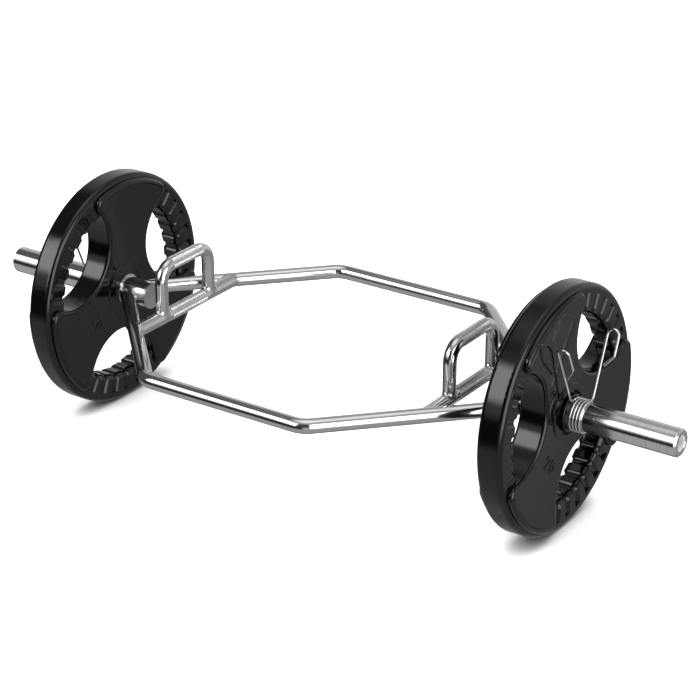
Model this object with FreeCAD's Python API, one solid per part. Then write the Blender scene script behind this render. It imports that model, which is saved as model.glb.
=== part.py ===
import FreeCAD, Part
import math
import os

# Hex trap bar standing on two loaded plates, each held by a wire spring collar.
# X runs along the sleeves, Y from the front bar to the rear bar, Z up.
# The origin is on the floor, under the middle of the bar. All sizes are in millimetres.

# Sleeves and what is welded to them
SLEEVE_D = 50.0
SLEEVE_BORE_D = 26.0
SLEEVE_LOAD_LENGTH = 264.0
SLEEVE_INSIDE = 64.0
SLEEVE_CHAMFER = 3.0
SLEEVE_BORE_CHAMFER = 1.5
CAP_T = 5.0
CAP_SPIGOT = 12.0
CAP_CLEARANCE = 0.1
RING_D = 58.0
RING_T = 3.2
RING_SETBACK = 3.0

# Hexagon, two bent round bars
BAR_D = 27.0
BAR_BEND_R = 40.0
HEX_FLAT = 329.0
HEX_WIDTH = 595.0
HEX_APEX_PAST_HANDLE = 142.5

# Handles
HANDLE_SPACING = 617.0
LOW_D = 25.0
HIGH_D = 24.0
HIGH_RISE = 96.5
HIGH_SPAN = 138.6
HIGH_BEND_R = 30.0

# Plates: rubber over an iron core, with a steel bush in the hub
PLATE_D = 442.6
RIM_W = 47.0
RIM_DEPTH = 53.0
RIM_OUT_ROUND = 9.5
RIM_IN_ROUND = 13.0
WEB_T = 67.8
WEB_FROM_EDGE = 10.0
WEB_EDGE_ROUND = 6.5
WEB_CORNER_R = 18.0
HOLE_COUNT = 3
HOLE_R = 97.0
HOLE_FROM_HUB = 27.0
CREASE_FROM_EDGE = 18.8
CREASE_W = 2.0
CREASE_DEPTH = 1.0
WEB_DISH = 7.7
HUB_D = 104.0
HUB_PROUD = 2.5
HUB_SLOPE = 1.5
RECESS_D = 80.0
RECESS_DEPTH = 6.0
NECK_D = 67.0
NECK_ROUND = 2.0
BUSH_BORE_D = 50.8
BUSH_WALL = 4.6
BUSH_T = 61.7
SEAT_GAP = 0.3
SEAT_TO_MIDDLE = 27.5
GROOVE_COUNT = 6
GROOVE_PITCH = 10.0
GROOVE_R = 10.0
GROOVE_DEPTH = 4.0
GROOVE_FROM_EDGE = 17.3
CORE_T = 23.0
CORE_COVER = 10.0
RIGHT_SPIN = 49.5
LEFT_SPIN = 37.0

# Spring collars: one wire, split where the coil ends and the levers start
WIRE_D = 4.5
COIL_CLEARANCE = 0.3
COIL_PITCH = 6.1
COIL_TURNS = 4
COIL_TOP_ANGLE = 91.5
COLLAR_GAP = 0.4
LEVER_SPLAY = 23.8
LEVER_BEND_R = 8.0
LEVER_REACH = 160.5
OUTER_LEVER_REACH = 153.0
LOOP_W = 21.0
LOOP_BEND_R = 10.3
LOOP_DROP = 44.0
LOOP_KINK_R = 6.0
LOOP_TAIL_REACH = 90.0
LOOP_TAIL_GAP = 1.6

V = FreeCAD.Vector
ORIGIN = V(0, 0, 0)
X_AXIS = V(1, 0, 0)
Y_AXIS = V(0, 1, 0)
Z_AXIS = V(0, 0, 1)

AXIS_HEIGHT = PLATE_D / 2
HANDLE_X = HANDLE_SPACING / 2
HEX_APEX = HANDLE_X + HEX_APEX_PAST_HANDLE
SLEEVE_ROOT = HEX_APEX - SLEEVE_INSIDE
RING_FACE = HEX_APEX - RING_SETBACK
SLEEVE_TIP = RING_FACE + SLEEVE_LOAD_LENGTH
PLATE_R = PLATE_D / 2
RIM_IN_R = PLATE_R - RIM_DEPTH
WEB_R = PLATE_R - WEB_FROM_EDGE
CREASE_R = PLATE_R - CREASE_FROM_EDGE
HOLE_CENTRE = HUB_D / 2 + HOLE_FROM_HUB + HOLE_R
BUSH_D = BUSH_BORE_D + 2 * BUSH_WALL
BUSH_IN = RING_FACE + SEAT_GAP
BUSH_OUT = BUSH_IN + BUSH_T
PLATE_MIDDLE = BUSH_IN + SEAT_TO_MIDDLE
RIM_IN = PLATE_MIDDLE - RIM_W / 2
RIM_OUT = PLATE_MIDDLE + RIM_W / 2
WEB_IN = PLATE_MIDDLE - WEB_T / 2
WEB_OUT = PLATE_MIDDLE + WEB_T / 2
DISH_IN = WEB_IN + WEB_DISH
DISH_OUT = WEB_OUT - WEB_DISH
DISH_FOOT_R = HUB_D / 2 + HUB_SLOPE
CREASE_FALL = WEB_DISH * (PLATE_R - CREASE_R) / (PLATE_R - DISH_FOOT_R)
COIL_R = SLEEVE_D / 2 + COIL_CLEARANCE + WIRE_D / 2
COIL_SLOPE = COIL_PITCH / (2 * math.pi * COIL_R)
LEVER_LEAD = (2 * WIRE_D + LEVER_BEND_R) * COIL_SLOPE
COIL_START = BUSH_OUT + COLLAR_GAP + LEVER_LEAD + WIRE_D / 2


def export(name, shape):
    """Stand one solid on the floor and write it as a node."""
    solid = shape.Solids[0]
    assert len(shape.Solids) == 1, name + " is not one solid"
    assert solid.isValid(), name + " is not valid"
    solid = solid.copy()
    solid.translate(Z_AXIS * AXIS_HEIGHT)
    solid.exportStep("parts/" + name + ".step")
    print("%-26s %9.1f cm3" % (name, solid.Volume / 1000))


def turned(shape, axis, degrees):
    """Copy of a shape turned about an axis through the middle of the bar."""
    copy = shape.copy()
    copy.rotate(ORIGIN, axis, degrees)
    return copy


def rod(diameter, x_from, x_to):
    """Round solid on the sleeve axis."""
    return Part.makeCylinder(diameter / 2, x_to - x_from, V(x_from, 0, 0), X_AXIS)


def rounded_route(points, radii):
    """Edges of a route of straight runs, with a tangent arc of its own radius at each inner point."""
    edges = []
    start = points[0]
    for before, corner, after, radius in zip(points, points[1:], points[2:], radii):
        way_in = (before - corner).normalize()
        way_out = (after - corner).normalize()
        half_angle = way_in.getAngle(way_out) / 2
        setback = radius / math.tan(half_angle)
        to_middle = radius / math.sin(half_angle) - radius
        first = corner + way_in * setback
        middle = corner + (way_in + way_out).normalize() * to_middle
        last = corner + way_out * setback
        edges.append(Part.LineSegment(start, first).toShape())
        edges.append(Part.Arc(first, middle, last).toShape())
        start = last
    edges.append(Part.LineSegment(start, points[-1]).toShape())
    return edges


def round_sweep(edges, diameter):
    """Solid round bar or wire along a chain of tangent edges."""
    path = Part.Wire(edges)
    start = edges[0].valueAt(edges[0].FirstParameter)
    heading = edges[0].tangentAt(edges[0].FirstParameter)
    section = Part.Wire(Part.Circle(start, heading, diameter / 2).toShape())
    return path.makePipeShell([section], True, False)


def revolved(outline):
    """Solid made by turning a closed (x, radius) outline about the sleeve axis."""
    return Part.Face(outline).revolve(ORIGIN, X_AXIS, 360.0)


def profile(steps):
    """Closed wire in the XY plane from (x, radius) corners, each with the radius of its rounding."""
    corners = [V(x, r, 0) for x, r, _ in steps]
    edges = []
    previous = None
    first = None
    count = len(steps)
    for i in range(count):
        corner = corners[i]
        rounding = steps[i][2]
        way_in = (corners[i - 1] - corner).normalize()
        way_out = (corners[(i + 1) % count] - corner).normalize()
        arrive = leave = corner
        if rounding > 0:
            half_angle = way_in.getAngle(way_out) / 2
            arrive = corner + way_in * (rounding / math.tan(half_angle))
            leave = corner + way_out * (rounding / math.tan(half_angle))
        if previous:
            edges.append(Part.LineSegment(previous, arrive).toShape())
        if rounding > 0:
            to_middle = rounding / math.sin(half_angle) - rounding
            middle = corner + (way_in + way_out).normalize() * to_middle
            edges.append(Part.Arc(arrive, middle, leave).toShape())
        first = first or arrive
        previous = leave
    edges.append(Part.LineSegment(previous, first).toShape())
    return Part.Wire(edges)


# Frame

def sleeve():
    tube = rod(SLEEVE_D, SLEEVE_ROOT + CAP_T, SLEEVE_TIP)
    tube = tube.cut(rod(SLEEVE_BORE_D, SLEEVE_ROOT, SLEEVE_TIP + CAP_T))
    rims = [e for e in tube.Edges if abs(e.BoundBox.XMin - SLEEVE_TIP) < CAP_CLEARANCE]
    outer = max(rims, key=lambda e: e.Length)
    tube = tube.makeChamfer(SLEEVE_CHAMFER, [outer])
    rims = [e for e in tube.Edges if abs(e.BoundBox.XMin - SLEEVE_TIP) < CAP_CLEARANCE]
    inner = min(rims, key=lambda e: e.Length)
    return tube.makeChamfer(SLEEVE_BORE_CHAMFER, [inner])


def inner_cap():
    disc = rod(SLEEVE_D, SLEEVE_ROOT, SLEEVE_ROOT + CAP_T)
    spigot_end = SLEEVE_ROOT + CAP_T + CAP_SPIGOT
    return disc.fuse(rod(SLEEVE_BORE_D - 2 * CAP_CLEARANCE, SLEEVE_ROOT, spigot_end)).removeSplitter()


def stop_ring():
    return rod(RING_D, RING_FACE - RING_T, RING_FACE).cut(rod(SLEEVE_D, SLEEVE_ROOT, SLEEVE_TIP))


def front_bar():
    """Bent bar whose ends are coped to both sleeves and cleared round the stop rings."""
    route = [
        V(-HEX_APEX, 0, 0),
        V(-HEX_FLAT / 2, -HEX_WIDTH / 2, 0),
        V(HEX_FLAT / 2, -HEX_WIDTH / 2, 0),
        V(HEX_APEX, 0, 0),
    ]
    bar = round_sweep(rounded_route(route, [BAR_BEND_R, BAR_BEND_R]), BAR_D)
    for side in (0, 180):
        bar = bar.cut(turned(rod(SLEEVE_D, SLEEVE_ROOT, SLEEVE_TIP), Z_AXIS, side))
        bar = bar.cut(turned(rod(RING_D, RING_FACE - RING_T, SLEEVE_TIP), Z_AXIS, side))
    return bar


def low_handle(bars):
    """Straight grip between the two bars, coped to both."""
    reach = (HEX_APEX - HANDLE_X) / (HEX_APEX - HEX_FLAT / 2) * HEX_WIDTH / 2
    grip = Part.makeCylinder(LOW_D / 2, 2 * reach, V(HANDLE_X, -reach, 0), Y_AXIS)
    return grip.cut(bars)


def high_handle():
    """Raised grip bent from one bar, with both posts coped to the low handle."""
    route = [
        V(HANDLE_X, -HIGH_SPAN / 2, 0),
        V(HANDLE_X, -HIGH_SPAN / 2, HIGH_RISE),
        V(HANDLE_X, HIGH_SPAN / 2, HIGH_RISE),
        V(HANDLE_X, HIGH_SPAN / 2, 0),
    ]
    grip = round_sweep(rounded_route(route, [HIGH_BEND_R, HIGH_BEND_R]), HIGH_D)
    seat = Part.makeCylinder(LOW_D / 2, 2 * HIGH_SPAN, V(HANDLE_X, -HIGH_SPAN, 0), Y_AXIS)
    return grip.cut(seat)


# Plates

def rim():
    """Rounded ring, with finger grooves where it closes a hand hole."""
    steps = [
        (RIM_IN, RIM_IN_R, RIM_IN_ROUND),
        (RIM_IN, PLATE_R, RIM_OUT_ROUND),
        (RIM_OUT, PLATE_R, RIM_OUT_ROUND),
        (RIM_OUT, RIM_IN_R, RIM_IN_ROUND),
    ]
    ring = revolved(profile(steps))
    first = -GROOVE_PITCH * (GROOVE_COUNT - 1) / 2
    grooves = [
        turned(finger_groove(), X_AXIS, hole * 360.0 / HOLE_COUNT + first + i * GROOVE_PITCH)
        for hole in range(HOLE_COUNT)
        for i in range(GROOVE_COUNT)
    ]
    return ring.cut(grooves)


def finger_groove():
    """Round cutter that scoops one groove across the hole side of the rim, on the +Y side."""
    clear = GROOVE_R - GROOVE_DEPTH
    near = RIM_IN - clear
    far = RIM_OUT + clear
    end = PLATE_R - GROOVE_FROM_EDGE
    inside = RIM_IN_R - clear
    route = [V(near, end, 0), V(near, inside, 0), V(far, inside, 0), V(far, end, 0)]
    bend = RIM_IN_ROUND + clear
    return round_sweep(rounded_route(route, [bend, bend]), 2 * GROOVE_R)


def web_outline(cover):
    """Three-armed web seen along the sleeve: round hand holes, the first along +Y, and rounded arm corners.

    A positive cover makes the outline that much smaller all round.
    """
    reach = WEB_R - WEB_CORNER_R
    apart = HOLE_R + WEB_CORNER_R
    along = (HOLE_CENTRE ** 2 + reach ** 2 - apart ** 2) / (2 * HOLE_CENTRE)
    sideways = math.sqrt(reach ** 2 - along ** 2)
    hole_centre = V(0, HOLE_CENTRE, 0)
    round_r = WEB_CORNER_R - cover
    corners = []
    for sign in (-1, 1):
        corner = V(0, along, sign * sideways)
        to_rim = (corner - ORIGIN).normalize()
        to_hole = (hole_centre - corner).normalize()
        spokes = (to_rim, (to_rim + to_hole).normalize(), to_hole)
        corners.append([corner + spoke * round_r for spoke in spokes])
    low, high = corners
    apex = V(0, HOLE_CENTRE - HOLE_R - cover, 0)
    next_hole = FreeCAD.Rotation(X_AXIS, 360.0 / HOLE_COUNT)
    half_way = FreeCAD.Rotation(X_AXIS, 180.0 / HOLE_COUNT)
    arm_end = half_way.multVec(V(0, WEB_R - cover, 0))
    arcs = [low, (low[2], apex, high[2]), high[::-1], (high[0], arm_end, next_hole.multVec(low[0]))]
    edges = []
    for i in range(HOLE_COUNT):
        turn = FreeCAD.Rotation(X_AXIS, i * 360.0 / HOLE_COUNT)
        edges += [Part.Arc(*[turn.multVec(point) for point in arc]).toShape() for arc in arcs]
    return Part.Wire(edges)


def axis_distance(edge):
    """How far the middle of an edge is from the sleeve axis."""
    middle = edge.valueAt((edge.FirstParameter + edge.LastParameter) / 2)
    return math.hypot(middle.y, middle.z)


def web_slab(cover, x_from, x_to):
    """Solid of the web's outline between two places along the sleeve."""
    slab = Part.Face(web_outline(cover)).extrude(X_AXIS * (x_to - x_from))
    slab.translate(X_AXIS * x_from)
    return slab


def crease(face, inward):
    """V-shaped ring cutter in one face of the web, along the rounded ends of its arms."""
    above = face - inward * CREASE_DEPTH
    steps = [
        (face + inward * CREASE_DEPTH, CREASE_R, 0),
        (above, CREASE_R + CREASE_W, 0),
        (above, CREASE_R - CREASE_W, 0),
    ]
    return revolved(profile(steps))


def dish(rim_face, hub_face):
    """Cutter that lets one face of the web fall evenly from the plate's edge to the hub."""
    away = 2 * rim_face - hub_face
    steps = [
        (rim_face, PLATE_R, 0),
        (hub_face, DISH_FOOT_R, 0),
        (hub_face, 0, 0),
        (away, 0, 0),
        (away, PLATE_R, 0),
    ]
    return revolved(profile(steps))


def web():
    """Dished web with rounded edges, a crease on both faces and a low boss round the hub."""
    slab = web_slab(0, WEB_IN, WEB_OUT).cut([dish(WEB_IN, DISH_IN), dish(WEB_OUT, DISH_OUT)])
    near_hub = HUB_D / 2 + HOLE_FROM_HUB * 3 / 4
    around = [e for e in slab.Edges if axis_distance(e) > near_hub]
    slab = slab.makeFillet(WEB_EDGE_ROUND, [e for e in around if e.BoundBox.XLength < WEB_DISH])
    slab = slab.cut([crease(WEB_IN + CREASE_FALL, 1), crease(WEB_OUT - CREASE_FALL, -1)])
    top_r = HUB_D / 2 - HUB_SLOPE
    bosses = [
        Part.makeCone(HUB_D / 2, top_r, HUB_PROUD, V(DISH_IN, 0, 0), X_AXIS * -1),
        Part.makeCone(HUB_D / 2, top_r, HUB_PROUD, V(DISH_OUT, 0, 0), X_AXIS),
    ]
    return slab.multiFuse(bosses)


def neck():
    """Round end of the hub that the spring collar stands against."""
    post = rod(NECK_D, PLATE_MIDDLE, BUSH_OUT)
    rims = [e for e in post.Edges if e.BoundBox.XMin > BUSH_OUT - NECK_ROUND]
    return post.makeFillet(NECK_ROUND, rims)


def plate_rubber(core):
    """Rim, web and neck moulded in one over the core, with a recess in both faces of the hub."""
    body = rim().fuse(web()).removeSplitter()
    recess_out = DISH_OUT + HUB_PROUD - RECESS_DEPTH
    body = body.cut([rod(RECESS_D, WEB_IN, BUSH_IN), rod(RECESS_D, recess_out, WEB_OUT)])
    body = body.fuse(neck()).removeSplitter()
    return body.cut(rod(BUSH_D, WEB_IN, BUSH_OUT + RECESS_DEPTH)).cut(core)


def plate_core():
    """Iron core that the rubber covers on every side, with arms and a rim of its own."""
    near = PLATE_MIDDLE - CORE_T / 2
    far = PLATE_MIDDLE + CORE_T / 2
    ring = rod(PLATE_D - 2 * CORE_COVER, near, far).cut(rod(2 * (RIM_IN_R + CORE_COVER), near, far))
    arms = web_slab(CORE_COVER, near, far)
    return arms.fuse(ring).removeSplitter().cut(rod(BUSH_D, near, far))


def plate_bush():
    return rod(BUSH_D, BUSH_IN, BUSH_OUT).cut(rod(BUSH_BORE_D, BUSH_IN, BUSH_OUT))


# Spring collars

def coil_point(angle):
    """Point of the helix after a turn of that many radians from its start."""
    spread = math.radians(COIL_TOP_ANGLE) - angle
    along = COIL_START + COIL_PITCH * angle / (2 * math.pi)
    return V(along, COIL_R * math.cos(spread), COIL_R * math.sin(spread))


def coil_heading(angle):
    """Unit heading of the helix at that turn."""
    spread = math.radians(COIL_TOP_ANGLE) - angle
    return V(COIL_SLOPE, math.sin(spread), -math.cos(spread)).normalize()


def tangent_arc(start, knee, end):
    """Arc from start to end whose end tangents meet at the knee."""
    chord_middle = (start + end) / 2
    half_angle = (knee - start).getAngle(end - start)
    share = math.cos(half_angle) / (1 + math.cos(half_angle))
    return Part.Arc(start, chord_middle + (knee - chord_middle) * share, end).toShape()


def biarc(angle_from, angle_to):
    """Two tangent arcs that follow one stretch of the helix."""
    start, end = coil_point(angle_from), coil_point(angle_to)
    heading_in, heading_out = coil_heading(angle_from), coil_heading(angle_to)
    chord = end - start
    along = chord.dot(heading_in + heading_out)
    spread = 2 * (1 - heading_in.dot(heading_out))
    reach = (math.sqrt(along * along + spread * chord.dot(chord)) - along) / spread
    first_knee = start + heading_in * reach
    last_knee = end - heading_out * reach
    meeting = (first_knee + last_knee) / 2
    return [tangent_arc(start, first_knee, meeting), tangent_arc(meeting, last_knee, end)]


def coil_tails():
    """Both ends of the coil's wire, where the levers take over: point and outward heading."""
    last = 2 * math.pi * COIL_TURNS
    heading_in = coil_heading(0) * -1
    heading_out = coil_heading(last)
    return [
        (coil_point(0) + heading_in * WIRE_D, heading_in),
        (coil_point(last) + heading_out * WIRE_D, heading_out),
    ]


def coil_route():
    """Quarter-turn biarcs with a straight end of one wire diameter at each side."""
    quarter = math.pi / 2
    turns = [biarc(i * quarter, (i + 1) * quarter) for i in range(4 * COIL_TURNS)]
    arcs = [arc for pair in turns for arc in pair]
    (first, _), (last, _) = coil_tails()
    head = Part.LineSegment(first, coil_point(0)).toShape()
    tail = Part.LineSegment(coil_point(2 * math.pi * COIL_TURNS), last).toShape()
    return [head] + arcs + [tail]


def lever_route(end):
    """Wire from the coil out along the lever and round its finger loop, at end 0 or 1 of the coil."""
    start, heading = coil_tails()[end]
    splay = math.radians(LEVER_SPLAY if end == 0 else -LEVER_SPLAY)
    lean = math.radians(COIL_TOP_ANGLE) + splay
    outward = V(0, math.cos(lean), math.sin(lean))
    reach = LEVER_REACH if end == 0 else OUTER_LEVER_REACH
    bend = heading.getAngle(outward)
    knee = start + heading * (LEVER_BEND_R * math.tan(bend / 2) + WIRE_D)
    top = knee + outward * (reach - outward.dot(knee))
    over = top + X_AXIS * LOOP_W
    kink = over - outward * LOOP_DROP
    tail_offset = X_AXIS * (WIRE_D + LOOP_TAIL_GAP)
    tail = top + tail_offset - outward * (reach - LOOP_TAIL_REACH)
    radii = [LEVER_BEND_R, LOOP_BEND_R, LOOP_BEND_R, LOOP_KINK_R]
    return rounded_route([start, knee, top, over, kink, tail], radii)


def least_gap(edges):
    """Least clear distance between stretches of one wire that are not neighbours along it."""
    steps_per_diameter = 3
    points = Part.Wire(edges).discretize(Distance=WIRE_D / steps_per_diameter)
    apart = 4 * steps_per_diameter
    gaps = [
        (points[i] - points[j]).Length
        for i in range(len(points))
        for j in range(i + apart, len(points))
    ]
    return min(gaps) - WIRE_D


def build():
    os.makedirs("parts", exist_ok=True)
    front = front_bar()
    rear = turned(front, Z_AXIS, 180)
    export("front_hex_bar", front)
    export("rear_hex_bar", rear)

    core = plate_core()
    bush = plate_bush()
    plate = {"plate_rubber": plate_rubber(core), "plate_core": core, "plate_bush": bush}
    coil = coil_route()
    levers = [lever_route(end) for end in (0, 1)]
    print("least gap of the coil to itself %.2f mm" % least_gap(coil))
    print("least gap of a lever to itself %.2f mm" % min(least_gap(route) for route in levers))
    fixed = {
        "sleeve": sleeve(),
        "inner_cap": inner_cap(),
        "stop_ring": stop_ring(),
        "low_handle": low_handle([front, rear]),
        "high_handle": high_handle(),
        "collar_coil": round_sweep(coil, WIRE_D),
        "collar_inner_lever": round_sweep(levers[0], WIRE_D),
        "collar_outer_lever": round_sweep(levers[1], WIRE_D),
    }
    for side, half_turn, spin in (("right", 0, RIGHT_SPIN), ("left", 180, LEFT_SPIN)):
        for name, shape in fixed.items():
            export(side + "_" + name, turned(shape, Z_AXIS, half_turn))
        for name, shape in plate.items():
            export(side + "_" + name, turned(turned(shape, X_AXIS, spin), Z_AXIS, half_turn))


build()
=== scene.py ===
import math

import bpy
from mathutils import Matrix, Vector


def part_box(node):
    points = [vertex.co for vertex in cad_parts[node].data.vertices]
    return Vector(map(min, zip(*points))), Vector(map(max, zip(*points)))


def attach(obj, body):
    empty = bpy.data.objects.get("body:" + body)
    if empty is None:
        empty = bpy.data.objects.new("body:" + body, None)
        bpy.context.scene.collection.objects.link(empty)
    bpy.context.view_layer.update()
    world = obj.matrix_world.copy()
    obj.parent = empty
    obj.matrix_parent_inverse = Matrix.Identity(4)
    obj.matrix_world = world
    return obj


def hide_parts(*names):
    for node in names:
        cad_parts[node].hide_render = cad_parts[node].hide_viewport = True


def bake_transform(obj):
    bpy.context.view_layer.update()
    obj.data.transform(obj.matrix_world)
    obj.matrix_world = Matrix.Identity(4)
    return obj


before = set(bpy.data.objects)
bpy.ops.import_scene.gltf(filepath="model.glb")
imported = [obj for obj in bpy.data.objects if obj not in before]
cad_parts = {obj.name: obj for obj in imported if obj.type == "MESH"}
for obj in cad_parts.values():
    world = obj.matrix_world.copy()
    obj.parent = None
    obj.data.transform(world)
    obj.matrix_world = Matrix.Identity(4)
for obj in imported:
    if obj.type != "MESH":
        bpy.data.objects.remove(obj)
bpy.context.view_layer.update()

# Hex trap bar on its two plates. Metres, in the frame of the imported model.
MM = 0.001
SIDES = {"right": 1.0, "left": -1.0}
X_AXIS = Vector((1, 0, 0))
Y_AXIS = Vector((0, 1, 0))
Z_AXIS = Vector((0, 0, 1))

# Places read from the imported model
sleeve_low, sleeve_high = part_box("right_sleeve")
ring_low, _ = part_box("right_stop_ring")
bar_low, bar_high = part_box("front_hex_bar")
raised_low, raised_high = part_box("right_high_handle")
grip_low, grip_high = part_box("right_low_handle")
rubber_low, rubber_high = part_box("right_plate_rubber")
core_low, core_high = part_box("right_plate_core")
coil_low, coil_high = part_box("right_collar_coil")
AXIS_Z = (sleeve_low.z + sleeve_high.z) / 2
SLEEVE_R = (sleeve_high.z - sleeve_low.z) / 2
BAR_R = (bar_high.z - bar_low.z) / 2
HANDLE_X = (grip_low.x + grip_high.x) / 2
LOW_R = (grip_high.z - grip_low.z) / 2
HIGH_R = (raised_high.x - raised_low.x) / 2
HIGH_TOP_Z = raised_high.z - HIGH_R
POST_Y = raised_high.y - HIGH_R
PLATE_R = (rubber_high.z - rubber_low.z) / 2
PLATE_MIDDLE = (core_low.x + core_high.x) / 2
COIL_MIDDLE = (coil_low.x + coil_high.x) / 2

# Sleeve's bore, where its finish changes
SLEEVE_BORE_R = 13.0 * MM
BORE_FADE_START = 0.1 * MM
BORE_FADE_END = 0.6 * MM
BORE_ROUGHNESS = 0.6
BORE_METAL_LOSS = 0.8

# Hexagon corner and apex of the bars' centre lines
HEX_CORNER = Vector((164.5 * MM, -297.5 * MM, AXIS_Z))
HEX_APEX = Vector((451.0 * MM, 0.0, AXIS_Z))

# Knurling
KNURL_PITCH = 1.5 * MM
KNURL_DEPTH = 0.4 * MM
KNURL_STAND = 0.1 * MM
KNURL_PAST_BEND = 5.0 * MM
HIGH_BEND_R = 30.0 * MM
KNURL_POST_GAP = 6.5 * MM

# Weld beads
WELD_LEG = 4.5 * MM
POST_WELD_LEG = 6.0 * MM
WELD_LIFT = 0.12
WELD_WAVE = 0.06
WELD_WAVES = 26
WELD_STEPS = 96
WELD_PROFILE = 6

# Spring collar wire
WIRE_R = 2.25 * MM
COIL_CLEARANCE = 0.3 * MM
COIL_PITCH = 6.1 * MM
COIL_TURNS = 4
COIL_TOP_ANGLE = math.radians(91.5)
COIL_STEPS = 56
WIRE_SIDES = 20

# Numerals on the plates, whose webs fall evenly from the plate's edge to the hub
WEB_HALF_T = 33.9 * MM
WEB_DISH = 7.7 * MM
WEB_FOOT_R = 53.5 * MM
WEB_ANGLE = {"right": math.radians(229.5), "left": math.radians(203.0)}
NUMERALS = "20"
NUMERAL_H = 24.0 * MM
NUMERAL_H_PER_SIZE = 0.7
NUMERAL_RELIEF = 0.9 * MM
NUMERAL_BOLDNESS = 0.4 * MM
NUMERAL_BEVEL = 0.35 * MM
NUMERAL_BEVEL_STEPS = 2
NUMERAL_R = 98.0 * MM
NUMERAL_STEP = math.radians(12.5)

# Camera
CAMERA_AT = Vector((2233.9 * MM, -3202.0 * MM, AXIS_Z + 1746.1 * MM))
CAMERA_AZIMUTH = math.radians(34.195)
CAMERA_ELEVATION = math.radians(24.257)
CAMERA_FAR = 100.0
FOCAL_PIXELS = 2399.1
IMAGE_PIXELS = 700
SENSOR = 36.0

# Panels round the object, in degrees: azimuth from the front towards +X, elevation,
# softness of the edge; then brightness
PANELS = [
    ((-190, -100), (-90, -22), 12, 0.37),
    ((100, 176), (-90, -14), 9, 0.43),
    ((-134, -55), (45, 56), 5, 0.19),
    ((-120, -55), (-30, 57), 8, 0.13),
    ((-62, 18), (-19, 6), 5, 0.03),
    ((-8, 44), (0, 46), 5, 0.1),
    ((-54, -8), (18, 45), 4, 6.5),
    ((44, 92), (-12, 43), 5, 4.5),
]
# Brightness of the room by elevation
ROOM = [
    (-90, 0.58), (-24, 0.6), (-8, 0.8), (2, 1.0), (14, 0.92),
    (28, 0.8), (44, 0.55), (58, 0.58), (68, 1.1), (80, 1.8),
]
ROOM_PEAK = 2.0
STRAIGHT_DOWN = -90.0
DOWN_TO_UP = 180.0
BACKDROP = 1.25

# Floor, with a painted contact shadow close under the plates: how far off it reaches, and the
# painted shade by openness
FLOOR_HALF = 12.0
FLOOR_DROP = 0.2 * MM
FLOOR_ROUGHNESS = 0.9
PAINTED_SHADOW_REACH = 0.048
PAINTED_SHADOW_SHADES = [(0.0, 0.06), (0.35, 0.42), (0.72, 0.95), (1.0, 1.0)]

# Overhead light
FILL_HEIGHT = 3.6
FILL_SIZE = 6.0
FILL_POWER = 340.0


# Node helpers

def new_tree(name):
    """A material with one surface shader; returns it, its tree, the shader and object places."""
    material = bpy.data.materials.new(name)
    material.use_nodes = True
    tree = material.node_tree
    tree.nodes.clear()
    output = tree.nodes.new("ShaderNodeOutputMaterial")
    shader = tree.nodes.new("ShaderNodeBsdfPrincipled")
    tree.links.new(shader.outputs["BSDF"], output.inputs["Surface"])
    place = tree.nodes.new("ShaderNodeTexCoord").outputs["Object"]
    return material, tree, shader, place


def noise(tree, place, scale, detail, stretch=None):
    """Noise value at a place, drawn out along the axes whose stretch is below 1."""
    if stretch:
        mapping = tree.nodes.new("ShaderNodeMapping")
        mapping.inputs["Scale"].default_value = stretch
        tree.links.new(place, mapping.inputs["Vector"])
        place = mapping.outputs["Vector"]
    node = tree.nodes.new("ShaderNodeTexNoise")
    node.inputs["Scale"].default_value = scale
    node.inputs["Detail"].default_value = detail
    tree.links.new(place, node.inputs["Vector"])
    return node.outputs["Fac"]


def ramp(tree, value, stops):
    """Colour or grey ramp over a value from 0 to 1."""
    node = tree.nodes.new("ShaderNodeValToRGB")
    elements = node.color_ramp.elements
    while len(elements) < len(stops):
        elements.new(0.5)
    for element, (position, shade) in zip(elements, stops):
        colour = shade if isinstance(shade, tuple) else (shade, shade, shade)
        element.position = position
        element.color = (*colour, 1.0)
    tree.links.new(value, node.inputs["Fac"])
    return node.outputs["Color"]


def bump(tree, shader, height, strength, distance):
    """Roughen a shader's surface by a height value."""
    node = tree.nodes.new("ShaderNodeBump")
    node.inputs["Strength"].default_value = strength
    node.inputs["Distance"].default_value = distance
    tree.links.new(height, node.inputs["Height"])
    tree.links.new(node.outputs["Normal"], shader.inputs["Normal"])


def components(tree, vector):
    """The X, Y and Z of a vector."""
    node = tree.nodes.new("ShaderNodeSeparateXYZ")
    tree.links.new(vector, node.inputs[0])
    return node.outputs


def node_math(tree, operation, *values):
    """One sum over numbers and values in the tree."""
    node = tree.nodes.new("ShaderNodeMath")
    node.operation = operation
    for socket, value in zip(node.inputs, values):
        if isinstance(value, (int, float)):
            socket.default_value = value
        else:
            tree.links.new(value, socket)
    return node.outputs[0]


def soft_step(tree, value, low, high):
    """0 below low, 1 above high, smooth between; falls instead if low is above high."""
    node = tree.nodes.new("ShaderNodeMapRange")
    node.interpolation_type = "SMOOTHSTEP"
    tree.links.new(value, node.inputs["Value"])
    node.inputs["From Min"].default_value = min(low, high)
    node.inputs["From Max"].default_value = max(low, high)
    node.inputs["To Min"].default_value = 0.0 if low < high else 1.0
    node.inputs["To Max"].default_value = 1.0 if low < high else 0.0
    return node.outputs["Result"]


def carry_over(tree, start, mask, value):
    """Carry a running value over to another one where a mask is 1."""
    node = tree.nodes.new("ShaderNodeMix")
    node.data_type = "FLOAT"
    factor, _, first, second = node.inputs[:4]
    tree.links.new(mask, factor)
    tree.links.new(start, first)
    second.default_value = value
    return node.outputs[0]


# Materials

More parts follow.
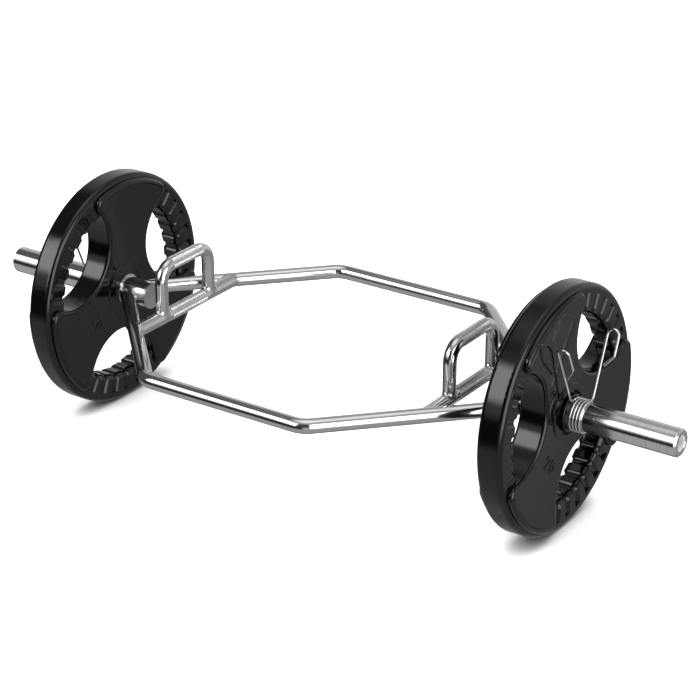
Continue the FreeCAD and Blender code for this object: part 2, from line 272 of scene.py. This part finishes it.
def polished_metal(name, dark, light, rough, grain):
    """Plated metal: faint clouding in its colour, uneven polish and a fine grain."""
    material, tree, shader, place = new_tree(name)
    shader.inputs["Metallic"].default_value = 1.0
    cloud = noise(tree, place, scale=14.0, detail=4.0)
    colour = ramp(tree, cloud, [(0.3, dark), (0.7, light)])
    tree.links.new(colour, shader.inputs["Base Color"])
    wipe = noise(tree, place, scale=60.0, detail=5.0)
    polish = ramp(tree, wipe, [(0.25, rough[0]), (0.75, rough[1])])
    tree.links.new(polish, shader.inputs["Roughness"])
    fine = noise(tree, place, scale=1800.0, detail=2.0)
    bump(tree, shader, fine, strength=grain, distance=0.05 * MM)
    return material


def sleeve_chrome():
    """Satin plating with faint lathe lines round the sleeve; its bore is left pale and dull."""
    material, tree, shader, place = new_tree("sleeve_chrome")
    _, y, z = components(tree, place)
    rise = node_math(tree, "SUBTRACT", z, AXIS_Z)
    squares = [node_math(tree, "MULTIPLY", v, v) for v in (y, rise)]
    radius = node_math(tree, "SQRT", node_math(tree, "ADD", *squares))
    fade_end = SLEEVE_BORE_R + BORE_FADE_END
    fade_start = SLEEVE_BORE_R + BORE_FADE_START
    inside = soft_step(tree, radius, fade_end, fade_start)
    lines = noise(tree, place, scale=420.0, detail=2.0, stretch=(1.0, 0.06, 0.06))
    colour = ramp(tree, lines, [(0.3, (0.60, 0.602, 0.596)), (0.7, (0.68, 0.682, 0.676))])
    tree.links.new(colour, shader.inputs["Base Color"])
    polish = ramp(tree, lines, [(0.25, 0.12), (0.75, 0.17)])
    roughness = carry_over(tree, polish, inside, BORE_ROUGHNESS)
    tree.links.new(roughness, shader.inputs["Roughness"])
    loss = node_math(tree, "MULTIPLY", inside, BORE_METAL_LOSS)
    tree.links.new(node_math(tree, "SUBTRACT", 1.0, loss), shader.inputs["Metallic"])
    bump(tree, shader, lines, strength=0.05, distance=0.04 * MM)
    return material


def rubber():
    """Moulded black rubber: a glossy skin with slow waves, slight bloom and a fine pebble."""
    material, tree, shader, place = new_tree("moulded_rubber")
    shader.inputs["IOR"].default_value = 1.46
    bloom = noise(tree, place, scale=9.0, detail=5.0)
    black = ramp(tree, bloom, [(0.3, (0.0006, 0.0006, 0.0006)), (0.75, (0.0014, 0.0013, 0.0012))])
    tree.links.new(black, shader.inputs["Base Color"])
    skin = noise(tree, place, scale=46.0, detail=6.0)
    polish = ramp(tree, skin, [(0.25, 0.07), (0.75, 0.13)])
    tree.links.new(polish, shader.inputs["Roughness"])
    pebble = noise(tree, place, scale=700.0, detail=4.0)
    waves = noise(tree, place, scale=24.0, detail=2.0)
    height = node_math(tree, "ADD", waves, node_math(tree, "MULTIPLY", pebble, 0.06))
    bump(tree, shader, height, strength=0.2, distance=0.9 * MM)
    return material


def cast_iron():
    """Rough iron with a little rust."""
    material, tree, shader, place = new_tree("cast_iron")
    shader.inputs["Metallic"].default_value = 0.6
    rust = noise(tree, place, scale=30.0, detail=6.0)
    colour = ramp(tree, rust, [(0.35, (0.05, 0.05, 0.052)), (0.8, (0.11, 0.085, 0.07))])
    tree.links.new(colour, shader.inputs["Base Color"])
    tree.links.new(ramp(tree, rust, [(0.2, 0.55), (0.8, 0.85)]), shader.inputs["Roughness"])
    sand = noise(tree, place, scale=260.0, detail=5.0)
    bump(tree, shader, sand, strength=0.5, distance=0.4 * MM)
    return material


def turned_steel(name, along, dark, light):
    """Steel with lathe lines, drawn out along the axes where along is below 1."""
    material, tree, shader, place = new_tree(name)
    shader.inputs["Metallic"].default_value = 1.0
    lines = noise(tree, place, scale=900.0, detail=2.0, stretch=along)
    tree.links.new(ramp(tree, lines, [(0.3, dark), (0.7, light)]), shader.inputs["Base Color"])
    tree.links.new(ramp(tree, lines, [(0.2, 0.24), (0.8, 0.4)]), shader.inputs["Roughness"])
    bump(tree, shader, lines, strength=0.12, distance=0.06 * MM)
    return material


CHROME = polished_metal(
    "chrome", rough=(0.07, 0.13), grain=0.04,
    dark=(0.53, 0.532, 0.53), light=(0.6, 0.602, 0.598))
WELD = polished_metal(
    "weld_chrome", rough=(0.12, 0.24), grain=0.15,
    dark=(0.48, 0.48, 0.475), light=(0.6, 0.6, 0.595))
KNURL = polished_metal(
    "knurled_chrome", rough=(0.22, 0.32), grain=0.1,
    dark=(0.52, 0.52, 0.51), light=(0.64, 0.64, 0.63))
WIRE = polished_metal(
    "spring_wire", rough=(0.07, 0.13), grain=0.08,
    dark=(0.6, 0.6, 0.595), light=(0.74, 0.74, 0.735))
SLEEVE = sleeve_chrome()
RUBBER = rubber()
IRON = cast_iron()
BUSH = turned_steel(
    "bush_steel", along=(1.0, 0.05, 0.05), dark=(0.05, 0.05, 0.052), light=(0.1, 0.1, 0.102))
CAP = turned_steel(
    "cap_steel", along=(0.05, 1.0, 0.12), dark=(0.42, 0.42, 0.415), light=(0.54, 0.54, 0.535))

NODE_MATERIAL = {
    "sleeve": SLEEVE,
    "inner_cap": CAP,
    "stop_ring": CHROME,
    "low_handle": CHROME,
    "high_handle": CHROME,
    "hex_bar": CHROME,
    "collar_coil": WIRE,
    "collar_inner_lever": WIRE,
    "collar_outer_lever": WIRE,
    "plate_rubber": RUBBER,
    "plate_core": IRON,
    "plate_bush": BUSH,
}


def dress_cad_nodes():
    """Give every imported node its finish, by the name after its side."""
    for name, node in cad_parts.items():
        material = NODE_MATERIAL[name.split("_", 1)[1]]
        node.data.materials.clear()
        node.data.materials.append(material)


# Mesh helpers

def add_object(name, data):
    """New object in the scene."""
    made = bpy.data.objects.new(name, data)
    bpy.context.scene.collection.objects.link(made)
    return made


def piece(name, vertices, faces, material, smooth=True):
    """New mesh piece in the frame, with its finish."""
    mesh = bpy.data.meshes.new(name)
    mesh.from_pydata([tuple(v) for v in vertices], [], faces)
    mesh.validate()
    mesh.polygons.foreach_set("use_smooth", [smooth] * len(mesh.polygons))
    mesh.materials.append(material)
    made = add_object(name, mesh)
    return made


def half_turn(point, side):
    """A point of the right half, carried to the other half by a half turn about Z on the left."""
    return Vector((point.x * SIDES[side], point.y * SIDES[side], point.z))


def grid_faces(rows, columns, rows_close=False, columns_close=True):
    """Quads of a grid of points, row by row, that may close on itself either way."""
    last_row = rows if rows_close else rows - 1
    last_column = columns if columns_close else columns - 1
    return [
        (r * columns + c, r * columns + (c + 1) % columns,
         (r + 1) % rows * columns + (c + 1) % columns, (r + 1) % rows * columns + c)
        for r in range(last_row)
        for c in range(last_column)
    ]


# Knurled grips

def knurl(side, name, z, radius, half_length):
    """Band of four-sided points round a bar that lies along Y, with turned-down ends."""
    outer = radius + KNURL_STAND + KNURL_DEPTH
    columns = 2 * round(2 * math.pi * outer / KNURL_PITCH)
    rows = 2 * round(half_length / (KNURL_PITCH / 2)) + 1
    vertices = []
    for r in range(rows):
        y = -half_length + 2 * half_length * r / (rows - 1)
        edge = r in (0, rows - 1)
        for c in range(columns):
            height = KNURL_STAND + KNURL_DEPTH * ((r + c) % 2)
            reach = radius - KNURL_STAND if edge else radius + height
            angle = 2 * math.pi * c / columns
            point = Vector((HANDLE_X + reach * math.cos(angle), y, z + reach * math.sin(angle)))
            vertices.append(half_turn(point, side))
    faces = []
    for quad in grid_faces(rows, columns):
        low_first = sum(divmod(quad[0], columns)) % 2 == 0
        a, b, c, d = quad if low_first else (quad[1], quad[2], quad[3], quad[0])
        faces += [(a, c, b), (a, d, c)]
    made = piece(side + "_" + name, vertices, faces, KNURL, smooth=False)
    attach(made, "frame")


def add_knurls(side):
    """Bands on the raised handle's top and on the low handle between the posts."""
    knurl(side, "high_knurl", HIGH_TOP_Z, HIGH_R, POST_Y - HIGH_BEND_R + KNURL_PAST_BEND)
    knurl(side, "low_knurl", AXIS_Z, LOW_R, POST_Y - HIGH_R - KNURL_POST_GAP)


# Weld beads

def leave_base(start, out, foot, base_axis, base_r):
    """Where a line that starts inside a round base comes out of it."""
    flat_out = out - base_axis * out.dot(base_axis)
    flat_start = (start - foot) - base_axis * (start - foot).dot(base_axis)
    a = flat_out.dot(flat_out)
    b = 2 * flat_out.dot(flat_start)
    c = flat_start.dot(flat_start) - base_r * base_r
    return start + out * ((-b + math.sqrt(max(b * b - 4 * a * c, 0.0))) / (2 * a))


def weld(side, name, foot, out, bar_r, base_r, base_axis, leg, wave=WELD_WAVE, x_limit=None):
    """Hollow-faced bead where a bar that starts inside a round base leaves it.

    foot is where the two centre lines meet, out the bar's heading away from the base,
    and wave the share by which the bead's width comes and goes. No point of the bead
    lies past x_limit.
    """
    across = out.cross(base_axis).normalized()
    over = across.cross(out).normalized()
    vertices = []
    for i in range(WELD_STEPS):
        angle = 2 * math.pi * i / WELD_STEPS
        spoke = across * math.cos(angle) + over * math.sin(angle)
        touch = leave_base(foot + spoke * bar_r, out, foot, base_axis, base_r)
        ripple = 1.0 + wave * math.sin(angle * WELD_WAVES)
        on_bar = touch + out * leg * ripple
        centre = foot + base_axis * (touch - foot).dot(base_axis)
        normal = (touch - centre).normalized()
        moved = touch + (spoke - normal * spoke.dot(normal)).normalized() * leg * ripple
        moved_centre = foot + base_axis * (moved - foot).dot(base_axis)
        on_base = moved_centre + (moved - moved_centre).normalized() * base_r
        lift = WELD_LIFT * leg
        knee = touch + (normal + spoke).normalized() * lift
        for k in range(WELD_PROFILE + 1):
            t = k / WELD_PROFILE
            point = on_bar * (1 - t) ** 2 + knee * 2 * t * (1 - t) + on_base * t ** 2
            if x_limit is not None:
                point.x = min(point.x, x_limit)
            vertices.append(half_turn(point, side))
    faces = grid_faces(WELD_STEPS, WELD_PROFILE + 1, rows_close=True, columns_close=False)
    made = piece(side + "_" + name, vertices, faces, WELD)
    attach(made, "frame")


def add_welds(side):
    """Beads of both hex bars on the sleeve, and of the handles on what they stand on."""
    for label, mirror in (("front", 1.0), ("rear", -1.0)):
        corner = Vector((HEX_CORNER.x, HEX_CORNER.y * mirror, HEX_CORNER.z))
        along = (corner - HEX_APEX).normalized()
        weld(side, label + "_sleeve_weld", HEX_APEX, along, BAR_R, SLEEVE_R, X_AXIS, WELD_LEG,
             x_limit=ring_low.x)
        share = (HEX_APEX.x - HANDLE_X) / (HEX_APEX.x - corner.x)
        crossing = HEX_APEX.lerp(corner, share)
        inward = Y_AXIS * mirror
        weld(side, label + "_handle_weld", crossing, inward, LOW_R, BAR_R, along, WELD_LEG)
        post_foot = Vector((HANDLE_X, -POST_Y * mirror, AXIS_Z))
        weld(side, label + "_post_weld", post_foot, Z_AXIS, HIGH_R, LOW_R, Y_AXIS, POST_WELD_LEG,
             wave=0.0)


# Spring collars

def coil_line():
    """Centre line of the right collar's coil, with a straight wire diameter at each end."""
    reach = SLEEVE_R + COIL_CLEARANCE + WIRE_R
    slope = COIL_PITCH / (2 * math.pi * reach)
    start = COIL_MIDDLE - COIL_PITCH * COIL_TURNS / 2

    def point(turn):
        spread = COIL_TOP_ANGLE - turn
        along = start + COIL_PITCH * turn / (2 * math.pi)
        return Vector((along, reach * math.cos(spread), AXIS_Z + reach * math.sin(spread)))

    def heading(turn):
        spread = COIL_TOP_ANGLE - turn
        return Vector((slope, math.sin(spread), -math.cos(spread))).normalized()

    last = 2 * math.pi * COIL_TURNS
    count = COIL_STEPS * COIL_TURNS
    line = [(point(0) - heading(0) * 2 * WIRE_R, heading(0))]
    line += [(point(last * i / count), heading(last * i / count)) for i in range(count + 1)]
    line.append((point(last) + heading(last) * 2 * WIRE_R, heading(last)))
    return line


def add_coil(side):
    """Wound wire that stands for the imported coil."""
    vertices = []
    for point, heading in coil_line():
        outward = Vector((0, point.y, point.z - AXIS_Z)).normalized()
        across = heading.cross(outward).normalized()
        outward = across.cross(heading)
        for k in range(WIRE_SIDES):
            angle = 2 * math.pi * k / WIRE_SIDES
            offset = (outward * math.cos(angle) + across * math.sin(angle)) * WIRE_R
            vertices.append(half_turn(point + offset, side))
    rows = len(vertices) // WIRE_SIDES
    faces = grid_faces(rows, WIRE_SIDES)
    faces.append(tuple(reversed(range(WIRE_SIDES))))
    faces.append(tuple(range((rows - 1) * WIRE_SIDES, rows * WIRE_SIDES)))
    made = piece(side + "_coil_wire", vertices, faces, WIRE)
    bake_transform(made)
    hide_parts(side + "_collar_coil")


# Numerals on the plates

def numeral_mesh(digit):
    """One raised numeral, standing up along local Y and facing local Z."""
    curve = bpy.data.curves.new("numeral", "FONT")
    curve.body = digit
    curve.size = NUMERAL_H / NUMERAL_H_PER_SIZE
    curve.align_x = "CENTER"
    curve.align_y = "CENTER"
    curve.extrude = NUMERAL_RELIEF
    curve.offset = NUMERAL_BOLDNESS
    curve.bevel_depth = NUMERAL_BEVEL
    curve.bevel_resolution = NUMERAL_BEVEL_STEPS
    holder = bpy.data.objects.new("numeral", curve)
    mesh = bpy.data.meshes.new_from_object(holder)
    bpy.data.objects.remove(holder)
    return mesh


def add_numerals(side):
    """The plate's weight in plain numerals on one web of each face, their feet to the rim."""
    slope = WEB_DISH / (PLATE_R - WEB_FOOT_R)
    from_middle = WEB_HALF_T - slope * (PLATE_R - NUMERAL_R)
    middle_index = (len(NUMERALS) - 1) / 2
    for face, facing in (("outer", 1.0), ("inner", -1.0)):
        outside = facing * SIDES[side]
        for index, digit in enumerate(NUMERALS):
            turn = WEB_ANGLE[side] + outside * (index - middle_index) * NUMERAL_STEP
            up = Vector((-outside * slope, -math.cos(turn), -math.sin(turn))).normalized()
            out = Vector((outside, -slope * math.cos(turn), -slope * math.sin(turn))).normalized()
            across = up.cross(out)
            place = Matrix((across, up, out)).transposed().to_4x4()
            place.translation = Vector((
                PLATE_MIDDLE * SIDES[side] + from_middle * outside,
                NUMERAL_R * math.cos(turn),
                AXIS_Z + NUMERAL_R * math.sin(turn),
            ))
            mesh = numeral_mesh(digit)
            mesh.transform(place)
            mesh.materials.clear()
            mesh.materials.append(RUBBER)
            made = add_object("%s_%s_numeral_%d" % (side, face, index + 1), mesh)
            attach(made, side + "_plate")


# Studio

def panel(tree, azimuth, elevation, az_range, el_range, soft):
    """Mask of one soft-edged panel round the object, in degrees."""
    edges = [
        soft_step(tree, azimuth, az_range[0] - soft, az_range[0] + soft),
        soft_step(tree, azimuth, az_range[1] + soft, az_range[1] - soft),
        soft_step(tree, elevation, el_range[0] - soft, el_range[0] + soft),
        soft_step(tree, elevation, el_range[1] + soft, el_range[1] - soft),
    ]
    mask = edges[0]
    for edge in edges[1:]:
        mask = node_math(tree, "MULTIPLY", mask, edge)
    return mask


def studio_world():
    """Soft panels and a pale room, seen in the chrome; the camera itself sees plain white."""
    world = bpy.data.worlds.new("studio")
    bpy.context.scene.world = world
    world.use_nodes = True
    tree = world.node_tree
    tree.nodes.clear()
    x, y, z = components(tree, tree.nodes.new("ShaderNodeTexCoord").outputs["Generated"])
    elevation = node_math(tree, "DEGREES", node_math(tree, "ARCSINE", z))
    forward = node_math(tree, "MULTIPLY", y, -1.0)
    azimuth = node_math(tree, "DEGREES", node_math(tree, "ARCTAN2", x, forward))
    above_down = node_math(tree, "SUBTRACT", elevation, STRAIGHT_DOWN)
    share = node_math(tree, "DIVIDE", above_down, DOWN_TO_UP)
    room = ramp(tree, share, [((e - STRAIGHT_DOWN) / DOWN_TO_UP, v / ROOM_PEAK) for e, v in ROOM])
    value = node_math(tree, "MULTIPLY", room, ROOM_PEAK)
    for az_range, el_range, soft, brightness in PANELS:
        mask = panel(tree, azimuth, elevation, az_range, el_range, soft)
        value = carry_over(tree, value, mask, brightness)
    light = tree.nodes.new("ShaderNodeBackground")
    tree.links.new(value, light.inputs["Strength"])
    backdrop = tree.nodes.new("ShaderNodeBackground")
    backdrop.inputs["Strength"].default_value = BACKDROP
    chooser = tree.nodes.new("ShaderNodeMixShader")
    seen = tree.nodes.new("ShaderNodeLightPath").outputs["Is Camera Ray"]
    tree.links.new(seen, chooser.inputs["Fac"])
    tree.links.new(light.outputs[0], chooser.inputs[1])
    tree.links.new(backdrop.outputs[0], chooser.inputs[2])
    output = tree.nodes.new("ShaderNodeOutputWorld")
    tree.links.new(chooser.outputs[0], output.inputs["Surface"])


def studio_floor():
    """Plain pale floor, with a painted contact shadow under the plates. The chrome mirrors the
    room below the horizon instead of it.
    """
    material, tree, shader, place = new_tree("pale_floor")
    shader.inputs["Roughness"].default_value = FLOOR_ROUGHNESS
    shader.inputs["Specular IOR Level"].default_value = 0.0
    pale = ramp(tree, noise(tree, place, scale=0.7, detail=2.0), [(0.3, 0.94), (0.7, 0.96)])
    # Painted shadow: ambient occlusion darkens the floor's colour close under the plates, in
    # place of a cast shadow.
    painted_shadow_ao = tree.nodes.new("ShaderNodeAmbientOcclusion")
    painted_shadow_ao.inputs["Distance"].default_value = PAINTED_SHADOW_REACH
    painted_shadow = ramp(tree, painted_shadow_ao.outputs["AO"], PAINTED_SHADOW_SHADES)
    pale_with_painted_shadow = node_math(tree, "MULTIPLY", pale, painted_shadow)
    tree.links.new(pale_with_painted_shadow, shader.inputs["Base Color"])
    corners = [
        (x * FLOOR_HALF, y * FLOOR_HALF, -FLOOR_DROP)
        for x, y in ((-1, -1), (1, -1), (1, 1), (-1, 1))
    ]
    mesh = bpy.data.meshes.new("floor")
    mesh.from_pydata(corners, [], [(0, 1, 2, 3)])
    mesh.materials.append(material)
    floor = add_object("floor", mesh)
    floor.visible_glossy = False


def fill_light():
    """Wide soft light overhead that brightens the floor and stays out of the reflections."""
    light = bpy.data.lights.new("overhead_fill", "AREA")
    light.size = FILL_SIZE
    light.energy = FILL_POWER
    made = add_object("overhead_fill", light)
    made.location = (0.0, 0.0, FILL_HEIGHT)
    made.visible_glossy = False
    made.visible_camera = False


def camera():
    """Camera at the photograph's place, with its field of view."""
    data = bpy.data.cameras.new("camera")
    data.sensor_width = SENSOR
    data.lens = FOCAL_PIXELS * SENSOR / IMAGE_PIXELS
    data.clip_end = CAMERA_FAR
    made = add_object("camera", data)
    made.location = CAMERA_AT
    made.rotation_euler = (math.pi / 2 - CAMERA_ELEVATION, 0.0, CAMERA_AZIMUTH)
    bpy.context.scene.camera = made


dress_cad_nodes()
for side in SIDES:
    add_knurls(side)
    add_welds(side)
    add_coil(side)
    add_numerals(side)
studio_world()
studio_floor()
fill_light()
camera()
bpy.context.scene.view_settings.view_transform = "Standard"
